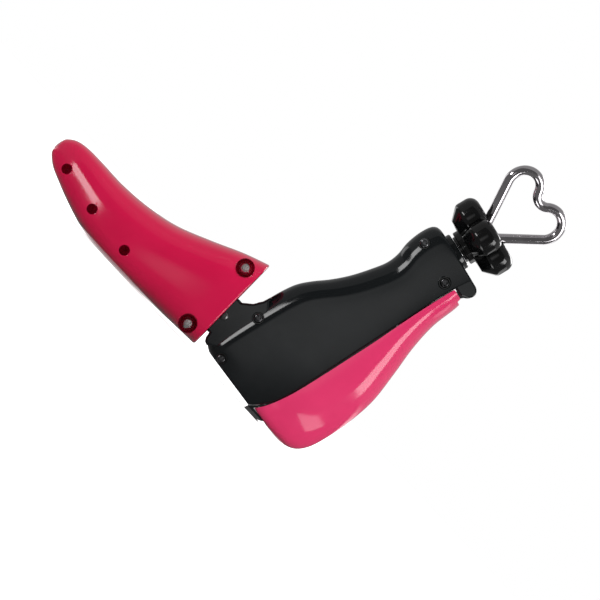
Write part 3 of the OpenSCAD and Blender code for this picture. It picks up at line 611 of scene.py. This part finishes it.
def heel_ring(u, inset, mouth, sides):
    """Ring of the heel in the drive frame, from the seam round the back; mouth runs past the seam."""
    sx, sz, bx, bz, share = smooth_row(HEEL_ROWS, u)
    length = math.hypot(bx - sx, bz - sz)
    dx, dz = (bx - sx) / length, (bz - sz) / length
    sx, sz = sx - dx * mouth, sz - dz * mouth
    bx, bz = bx - dx * inset, bz - dz * inset
    down = u / HEEL_END
    pinch = ((down - PINCH_FROM) / (1 - PINCH_FROM)) ** 2 * PINCH if down > PINCH_FROM else 0
    w = HEEL_TOP + (HEEL_SOLE - HEEL_TOP) * max(share, min(down * 1.3, 1)) - pinch - inset
    ring = []
    for j in range(-sides, sides + 1):
        a = math.radians(90 - abs(j) * 90 / sides)
        f = abs(math.sin(a)) ** (2 / HEEL_FULL)
        y = math.copysign(1, j) * w * abs(math.cos(a)) ** (2 / HEEL_FULL) if j else 0
        ring.append((sx + (bx - sx) * f, y, sz + (bz - sz) * f))
    return ring


def build_heel():
    rings = [heel_ring(HEEL_END * k / HEEL_STEPS, 0, 0, HEEL_SIDES) for k in range(HEEL_STEPS + 1)]
    shell = loft("heel_shell_skin", rings)
    cavity = loft("heel_cavity", [heel_ring(HEEL_END * k / 24, HEEL_WALL, 4, 18) for k in range(2, 22)])
    plate = PLATE_AT + PLATE_T
    bosses, tools = [], []
    for z in HEEL_SCREWS:
        bosses.append(along_x(post("heel_boss", HEEL_BOSS_R, 0, 60, 32), seam_at(z) + plate + 0.08, z))
    cut(shell, [cut(cavity, bosses)])
    for z in HEEL_SCREWS:
        length = plate + 2 + (13 if z < -60 else 6)
        tools.append(along_x(post("heel_bore", HEEL_BORE_R, 0, length, 24), seam_at(z) - 2, z))
    ear = EAR_HALF + 0.3
    slot = seam_at(-14) - 8
    tools += [
        box("hinge_gap", 0, 40, -ear, ear, -12.4, -4.4),
        box("heel_top", -10, 50, -40, 40, -9.9, 10),
        box("neck_slot", slot, slot + 13, -ear, ear, -18, -10),
    ]
    cut(shell, tools)
    finish_piece(shell, DRIVE, HEEL_PINK, "heel", "heel_plastic", "heel_shell")


# Lip of the heel frame, in the world's X and Z, which closes the step up to the pink sole
LIP = [
    (63.0, 0.15), (65.5, 0.05), (68.2, 0.1), (70.3, 0.4), (72.2, 1.0), (73.6, 1.7), (74.6, 2.6),
    (72.8, 3.0), (69.6, 3.1), (66.4, 3.3), (64.4, 2.2),
]
LIP_HALF = 15.5


def build_lip():
    lip = rounded_slab("heel_lip", LIP, -LIP_HALF, LIP_HALF, 0.5)
    finish_piece(lip, Matrix.Identity(4), BLACK, "heel", "black_plastic")


# Knob
KNOB_R, LOBE_R, LOBES = 23, 9.7, 5
KNOB_LOW, KNOB_TOP, KNOB_FLOOR, KNOB_PHASE = 7.4, 25, 13.4, -85
KNOB_POINTS, KNOB_FRONT = 240, 5.4
# Softens the valleys between the lobes, and what that adds to the reach is taken off again
VALLEY, VALLEY_BACK = 1.2, 0.06
# The back is a cone that ends in a small round, as (height over KNOB_LOW, inset)
KNOB_BACK = [(0, 6.4), (0.25, 6.0), (5.0, 1.1), (5.35, 0.78), (5.8, 0.45), (6.3, 0.2), (6.9, 0.05), (7.6, 0)]
SLEEVE_LOW, SLEEVE_TOP, SLEEVE_R, SLEEVE_NECK_R = 3, 11.5, 9.7, 7.6
SCREW_R, ROD_R, ROD_HEAD = 6, 2.9, 16.6
COLLAR_R, COLLAR_TOP = 10.35, 2.7


def knob_ring(z, inset):
    """Star outline: lobes of LOBE_R less the inset, blended in the valleys."""
    d = KNOB_R - LOBE_R
    ring = []
    for j in range(KNOB_POINTS):
        a = 2 * math.pi * j / KNOB_POINTS
        b = (a % (2 * math.pi / LOBES)) - math.pi / LOBES
        side = d * math.sin(b)
        reach = math.sqrt(max((LOBE_R - inset) ** 2 - side * side, 0.0) + VALLEY)
        q = min(d * math.cos(b) + reach - VALLEY_BACK, KNOB_R - inset)
        ring.append((q * math.cos(a), q * math.sin(a), z))
    return ring


def build_knob():
    rings = [knob_ring(KNOB_LOW + up, inset) for up, inset in KNOB_BACK]
    for k in range(19):
        t = math.radians(5 * k)
        rings.append(knob_ring(KNOB_TOP - KNOB_FRONT * (1 - math.sin(t)), KNOB_FRONT * (1 - math.cos(t))))
    knob = loft("star_knob_skin", rings)
    recess = post("recess", SLEEVE_R + 1.1, KNOB_LOW - 1, KNOB_FLOOR)
    cut(recess, [post("hub", SLEEVE_R - 1.4, SLEEVE_TOP, KNOB_FLOOR + 1)])
    dish = lathe("dish", [(ROD_R + 3, ROD_HEAD - 2.3), (10.0, KNOB_TOP - 0.35), (10.8, KNOB_TOP + 0.2)])
    cut(knob, [recess, post("bore", SCREW_R, KNOB_LOW - 1, ROD_HEAD - 2), dish])
    turn = Matrix.Rotation(math.radians(KNOB_PHASE + 180 / LOBES), 4, "Z")
    finish_piece(knob, DRIVE @ turn, KNOB_BLACK, "knob", "black_plastic", "star_knob")


def build_sleeve():
    r, neck = SLEEVE_R, SLEEVE_NECK_R
    sleeve = lathe("drive_sleeve_skin", [
        (SCREW_R, SLEEVE_LOW), (neck - 0.2, SLEEVE_LOW), (neck, SLEEVE_LOW + 0.2), (neck, 4.3),
        (r - 0.4, 4.3), (r, 4.7), (r, SLEEVE_TOP - 0.4), (r - 0.4, SLEEVE_TOP), (SCREW_R, SLEEVE_TOP),
    ], 96)
    key = box("key", r - 1, r + 0.7, -2.6, 2.6, 5.4, 9.8)
    round_edges(key, lambda e: e.calc_face_angle() > math.radians(40), 0.35, 3)
    key.data.transform(Matrix.Rotation(math.radians(-78), 4, "Z"))
    cut(sleeve, [key], "UNION")
    cut(sleeve, [post("bore", SCREW_R, 0, 20)])
    finish_piece(sleeve, DRIVE, KNOB_BLACK, "knob", "black_plastic", "drive_sleeve")


def build_collar():
    c = COLLAR_R
    collar = lathe("end_collar_skin", [
        (COLLAR_BORE_R, -6), (COLLAR_BORE_R, 0), (c, 0), (c, COLLAR_TOP - 0.8), (c - 0.15, COLLAR_TOP - 0.4),
        (c - 0.6, COLLAR_TOP),
    ], 96)
    cut(collar, [post("bore", SCREW_R + 0.08, -8, 5)])
    finish_piece(collar, DRIVE, BLACK, "housing", "black_plastic", "end_collar")


# Heart handle
WIRE_R, WIRE_SIDES, LOBE_X, LOBE_Z, HEART_LOBE = 2.7, 40, 12.9, 50.2, 9.27
HEART_DIP, HEART_TIP, HEART_BEND, HEART_TURN, HEART_FOOT = 2.9, 15.9, 6, 25, 3.05


def heart_half(steps):
    """Middle of the wire, from its foot to the dip, as (across, along, direction in degrees)."""
    turn = (LOBE_X**2 + HEART_DIP**2 - HEART_LOBE**2) / (2 * (HEART_LOBE - HEART_DIP))
    top = LOBE_Z + HEART_DIP + turn
    join_at = math.degrees(math.atan2(top - LOBE_Z, -LOBE_X))
    rise = LOBE_Z - HEART_TIP
    lean = math.degrees(math.atan2(LOBE_X, rise) + math.asin(HEART_LOBE / math.hypot(LOBE_X, rise)))
    slope = math.radians(lean)
    low = HEART_TIP + HEART_FOOT / math.tan(slope) - HEART_BEND * math.tan(slope / 2)
    path = [(HEART_FOOT, ROD_HEAD + 0.02, 90)]
    for k in range(steps + 1):
        a = lean * k / steps
        t = math.radians(a)
        path.append((HEART_FOOT + HEART_BEND * (1 - math.cos(t)), low + HEART_BEND * math.sin(t), 90 - a))
    x0, z0 = path[-1][:2]
    x1, z1 = LOBE_X + HEART_LOBE * math.cos(-slope), LOBE_Z + HEART_LOBE * math.sin(-slope)
    for k in range(1, 14):
        path.append((x0 + (x1 - x0) * k / 14, z0 + (z1 - z0) * k / 14, 90 - lean))
    for k in range(4 * steps + 1):
        a = -lean + (join_at + lean) * k / (4 * steps)
        t = math.radians(a)
        path.append((LOBE_X + HEART_LOBE * math.cos(t), LOBE_Z + HEART_LOBE * math.sin(t), a + 90))
    for k in range(1, steps + 1):
        a = join_at - 180 + (90 - join_at) * k / steps
        t = math.radians(a)
        path.append((turn * math.cos(t), top + turn * math.sin(t), a - 90))
    return path


def build_heart():
    half = heart_half(14)
    path = half + [(-x, z, 360 - a) for x, z, a in reversed(half[:-1])]
    rings = []
    for x, z, a in path:
        t = math.radians(a)
        ring = []
        for j in range(WIRE_SIDES):
            b = 2 * math.pi * j / WIRE_SIDES
            d = WIRE_R * math.cos(b)
            ring.append((x - d * math.sin(t), WIRE_R * math.sin(b), z + d * math.cos(t)))
        rings.append(ring)
    turn = Matrix.Rotation(math.radians(HEART_TURN), 4, "Z")
    wire = loft("heart_handle_skin", rings)
    finish_piece(wire, DRIVE @ turn, CHROME, "handle", "chrome_wire", "heart_handle")


# Screws: head radius, head height, shank radius
TOE_SCREW, HOUSING_SCREW = (3.3, 2, 1.2), (2.6, 1.8, 1.1)
RECESS_TURN, RECESS_DEPTH = 35, 0.75
THREAD_TURNS, THREAD_STEPS, THREAD_HALF = 6, 16, 0.32


def screw_head(name, seat, r, t):
    """Pan head on its seat, with a tapered cross recess."""
    profile = [(r - 0.12, seat), (r, seat + 0.12), (r, seat + t * 0.3)]
    for k in range(1, 10):
        a = math.radians(9 * k)
        profile.append((r - t * 0.7 * (1 - math.cos(a)), seat + t * (0.3 + 0.7 * math.sin(a))))
    head = lathe(name, profile + [(TIP_R, seat + t)], 56)
    arms = []
    w, d = r * 0.56, 0.36
    for turned in (0, 90):
        points = []
        for z, s in ((seat + t - RECESS_DEPTH, 0.62), (seat + t + 0.3, 1.15)):
            points += [(sx * w * s, sy * d * s, z) for sx, sy in ((-1, -1), (1, -1), (1, 1), (-1, 1))]
        sides = [(j, (j + 1) % 4, (j + 1) % 4 + 4, j + 4) for j in range(4)]
        arm = mesh_object("arm", points, [(3, 2, 1, 0), (4, 5, 6, 7)] + sides)
        arm.data.transform(Matrix.Rotation(math.radians(turned + RECESS_TURN), 4, "Z"))
        arms.append(arm)
    return cut(head, arms)


def screw_thread(r, top, low):
    """Ridge with three sides, wound from top down to low."""
    core = r * 0.8
    count = THREAD_TURNS * THREAD_STEPS
    points, faces = [], []
    for k in range(count + 1):
        a = 2 * math.pi * k / THREAD_STEPS
        c, s = math.cos(a), math.sin(a)
        y = top - (top - low) * k / count
        for reach, up in ((core, -THREAD_HALF), (r, 0), (core, THREAD_HALF)):
            points.append((reach * c, reach * s, y + up))
    for i in range(0, 3 * count, 3):
        faces += [(i, i + 1, i + 4, i + 3), (i + 1, i + 2, i + 5, i + 4), (i + 2, i, i + 3, i + 5)]
    last = len(points)
    faces += [(0, 2, 1), (last - 3, last - 2, last - 1)]
    return mesh_object("ridge", points, faces)


def pan_screw(name, x, z, seat, head_r, head_t, shank_r, tip):
    """Pan head screw along Y with a thread on its shank, from the tip to the seat of its head."""
    core = shank_r * 0.84
    head = screw_head(name, seat, head_r, head_t)
    shank = lathe("shank", [(shank_r * 0.7, tip), (core, tip + 0.4), (core, seat + 0.01)], 24)
    return along_y(join([head, shank, screw_thread(shank_r, seat - 0.4, tip + 0.3)]), x, z)


def build_screws():
    tip = ARM_OUT - 0.8
    right = join([pan_screw("toe_screw", x, z, SCREW_FLOOR, *TOE_SCREW, tip) for x, z in TOE_SCREWS])
    right.name = "toe_screws_right_skin"
    left = mirrored(right, "toe_screws_left_skin")
    finish_piece(right, TOE, ZINC, "toe_right", "bright_steel", "toe_screws_right")
    finish_piece(left, TOE, ZINC, "toe_left", "bright_steel", "toe_screws_left")
    seat, tip = HOUSING_HALF - HEAD_SINK, 6 - HOUSING_HALF
    made = join([pan_screw("housing_screw", x, z, seat, *HOUSING_SCREW, tip) for x, z in PILLARS])
    screws = mirrored(made, "housing_screws_skin")
    remove(made)
    finish_piece(screws, DRIVE, BLACK_ZINC, "housing", "black_screw", "housing_screws")


def build_tilt_pin():
    end, head_r, rise = NECK_HALF, 2.5, 1.1
    turns = [math.radians(a) for a in range(0, 90, 9)]
    dome = [(head_r * math.cos(t), end + rise * math.sin(t)) for t in turns] + [(TIP_R, end + rise)]
    under = [(r, -y) for r, y in reversed(dome)]
    shaft = [(PIN_R, -end + 0.01), (PIN_R, end - 0.01)]
    pin = along_y(lathe("tilt_pin_skin", under + shaft + dome, 48), *TILT_AT)
    finish_piece(pin, DRIVE, PIN_STEEL, "housing", "bright_steel", "tilt_pin")


# Springs of the toe, round the guide pins at these places
GUIDES = [(1, 43), (-7, 13)]
SPRING_WIRE, SPRING_COIL, SPRING_LOW, SPRING_TOP, SPRING_TURNS = 0.4, 3.1, 7.15, 19.15, 5
SPRING_STEPS, SPRING_SIDES, SPRING_KEEP = 40, 12, 0.4


def spring(x, z):
    """Coil about a line along Y."""
    count = SPRING_TURNS * SPRING_STEPS
    run = SPRING_TOP - SPRING_LOW - 2 * SPRING_WIRE
    rise = math.atan(run / SPRING_TURNS / (2 * math.pi * SPRING_COIL))
    rings = []
    for k in range(count + 1):
        a = 2 * math.pi * k / SPRING_STEPS
        y = SPRING_LOW + SPRING_WIRE + run * k / count
        ring = []
        for j in range(SPRING_SIDES):
            b = 2 * math.pi * j / SPRING_SIDES
            out, up = SPRING_COIL + SPRING_WIRE * math.cos(b), SPRING_WIRE * math.sin(b)
            ring.append((
                x + out * math.cos(a) + up * math.sin(rise) * math.sin(a),
                y + up * math.cos(rise),
                z + out * math.sin(a) - up * math.sin(rise) * math.cos(a),
            ))
        rings.append(ring)
    return loft("spring", rings)


def build_springs():
    right = join([spring(x, z) for x, z in GUIDES])
    right.name = "toe_springs_right_skin"
    left = mirrored(right, "toe_springs_left_skin")
    for obj, side, node, joint in (
        (right, 1, "toe_springs_right", "toe_right_spread"),
        (left, -1, "toe_springs_left", "toe_left_spread"),
    ):
        finish_piece(obj, TOE, ZINC, "toe_core", "bright_steel", node)
        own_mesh(obj)


build_toe()
build_housing()
build_heel()
build_lip()
build_knob()
build_sleeve()
build_collar()
build_heart()
build_screws()
build_tilt_pin()
build_springs()

# Looks of the CAD pieces that stay
KEPT = {
    "heel_pin": ZINC, "rod_bush": BRASS, "length_screw": TURNED, "screw_ring": ZINC, "width_rod": TURNED,
    "rod_clip": ZINC, "length_wedge": NYLON, "length_nut": BRASS, "width_wedge": NYLON, "width_nut": BRASS,
    "heel_frame": BLACK, "heel_screws": ZINC, "toe_yoke": NYLON, "toe_guide_pins": ZINC,
    "toe_guide_clips": ZINC, "toe_frame_left": NYLON, "toe_frame_right": NYLON,
}
for name, material in KEPT.items():
    data = nodes[name].data
    if not data.materials:
        data.materials.append(material)
    for k in range(len(data.materials)):
        data.materials[k] = material


# Studio: lengths in metres from here on
AMBIENT, FLOOR_TONE, FLOOR_GLOW, FLOOR_HALF = 0.66, 0.6, 0.84, 6.0
# The photograph is turned by ROLL against the ground line, and its middle is at FRAME_MIDDLE
ROLL, FRAME_MIDDLE, FRAME_WIDTH, DISTANCE = math.radians(47.22), (0.0401, 0.0613), 0.324, 4.0
# Reach of the grey cards
LEFT, RIGHT, FRONT, REAR, TOP = -1.8, 1.6, -1.3, 1.0, 1.8


def seen_rays(tree):
    """1 for camera, glossy and transmission rays, 0 for the others."""
    path = tree.nodes.new("ShaderNodeLightPath")
    result = path.outputs["Is Camera Ray"]
    for kind in ("Is Glossy Ray", "Is Transmission Ray"):
        either = tree.nodes.new("ShaderNodeMath")
        either.operation = "MAXIMUM"
        tree.links.new(result, either.inputs[0])
        tree.links.new(path.outputs[kind], either.inputs[1])
        result = either.outputs[0]
    return result


def build_world():
    world = bpy.data.worlds.new("studio")
    bpy.context.scene.world = world
    world.use_nodes = True
    tree = world.node_tree
    back = tree.nodes["Background"]
    back.inputs["Color"].default_value = (1, 1, 1, 1)
    level = tree.nodes.new("ShaderNodeMapRange")
    level.inputs["To Min"].default_value = AMBIENT
    level.inputs["To Max"].default_value = 1.0
    tree.links.new(seen_rays(tree), level.inputs["Value"])
    tree.links.new(level.outputs["Result"], back.inputs["Strength"])


def stage_material(name, tone, specular):
    """Plain white-emitting material for what stands round the object."""
    material = bpy.data.materials.new(name)
    material.use_nodes = True
    shader = material.node_tree.nodes["Principled BSDF"]
    shader.inputs["Base Color"].default_value = (tone, tone, tone, 1)
    shader.inputs["Specular IOR Level"].default_value = specular
    shader.inputs["Emission Color"].default_value = (1, 1, 1, 1)
    return material, shader


def level_corners(z, x0, x1, y0, y1):
    return [(x0, y0, z), (x1, y0, z), (x1, y1, z), (x0, y1, z)]


def wall_corners(x0, y0, x1, y1):
    return [(x0, y0, 0), (x1, y1, 0), (x1, y1, TOP), (x0, y0, TOP)]


def build_floor():
    corners = level_corners(0, -FLOOR_HALF, FLOOR_HALF, -FLOOR_HALF, FLOOR_HALF)
    floor = mesh_object("floor", corners, [(0, 1, 2, 3)])
    material, shader = stage_material("floor", FLOOR_TONE, 0.1)
    shader.inputs["Roughness"].default_value = 0.9
    tree = material.node_tree
    level = tree.nodes.new("ShaderNodeMath")
    level.operation = "MULTIPLY"
    level.inputs[1].default_value = FLOOR_GLOW
    tree.links.new(seen_rays(tree), level.inputs[0])
    tree.links.new(level.outputs[0], shader.inputs["Emission Strength"])
    floor.data.materials.append(material)


def build_camera():
    data = bpy.data.cameras.new("camera")
    data.sensor_width = 36
    data.lens = data.sensor_width * DISTANCE / FRAME_WIDTH
    data.clip_start, data.clip_end = 0.01, 50
    camera = new_object("camera", data)
    camera.matrix_world = (
        Matrix.Translation((FRAME_MIDDLE[0], -DISTANCE, FRAME_MIDDLE[1]))
        @ Matrix.Rotation(math.radians(90), 4, "X")
        @ Matrix.Rotation(ROLL, 4, "Z")
    )
    bpy.context.scene.camera = camera


def card(name, corners, level, fade=None):
    """Grey card that only gloss and metal mirror.

    fade is (middle, (from, to), low): between these distances from the middle, the level falls to low.
    """
    made = mesh_object(name, corners, [(0, 1, 2, 3)])
    material, shader = stage_material(name, 0, 0.0)
    shader.inputs["Emission Strength"].default_value = level
    if fade:
        middle, reach, low = fade
        tree = material.node_tree
        place = tree.nodes.new("ShaderNodeTexCoord")
        away = tree.nodes.new("ShaderNodeVectorMath")
        away.operation = "DISTANCE"
        away.inputs[1].default_value = middle
        fall = tree.nodes.new("ShaderNodeMapRange")
        fall.interpolation_type = "SMOOTHSTEP"
        fall.inputs["From Min"].default_value, fall.inputs["From Max"].default_value = reach
        fall.inputs["To Min"].default_value, fall.inputs["To Max"].default_value = level, low
        tree.links.new(place.outputs["Object"], away.inputs[0])
        tree.links.new(away.outputs["Value"], fall.inputs["Value"])
        tree.links.new(fall.outputs["Result"], shader.inputs["Emission Strength"])
    made.data.materials.append(material)
    made.visible_camera = made.visible_diffuse = made.visible_shadow = made.visible_transmission = False


def softbox(name, at, aim, size, power, gloss=True):
    """Rectangular area light; without gloss, it isn't mirrored."""
    lamp = bpy.data.lights.new(name, "AREA")
    lamp.shape = "RECTANGLE"
    lamp.size, lamp.size_y = size
    lamp.energy = power
    obj = new_object(name, lamp)
    obj.visible_glossy = gloss
    obj.location = at
    obj.rotation_euler = (Vector(aim) - Vector(at)).to_track_quat("-Z", "Y").to_euler()


build_world()
build_floor()
build_camera()
card("card_front", wall_corners(LEFT, FRONT, RIGHT, FRONT), 0.7, ((0.065, FRONT, 0.06), (0.05, 0.34), 0.1))
card("card_ground", level_corners(0.002, LEFT, RIGHT, FRONT, 0.3), 0.14)
card("card_patch", level_corners(0.003, 0.13, 0.21, -0.12, -0.03), 3.0)
card("card_left", wall_corners(LEFT, REAR, LEFT, FRONT), 0.3)
card("card_rear", wall_corners(RIGHT, REAR, LEFT, REAR), 0.4)
card("card_right", wall_corners(RIGHT, FRONT, RIGHT, REAR), 0.5)
card("card_top", level_corners(TOP, LEFT, RIGHT, FRONT, REAR), 0.3)
softbox("left", (-0.76, -0.79, 0.12), (0.0, 0, 0.06), (0.48, 0.22), 2.4)
softbox("side", (0.92, -0.40, 0.28), (0.07, 0, 0.07), (0.42, 0.52), 3.6)
softbox("top", (-0.1, -0.25, 1.1), (0.02, 0, 0.08), (0.7, 0.35), 4.4, gloss=False)
softbox("rear", (0.5, 0.85, 0.6), (0.02, 0, 0.08), (0.5, 0.35), 3.0)
bpy.context.scene.view_settings.view_transform = "Standard"
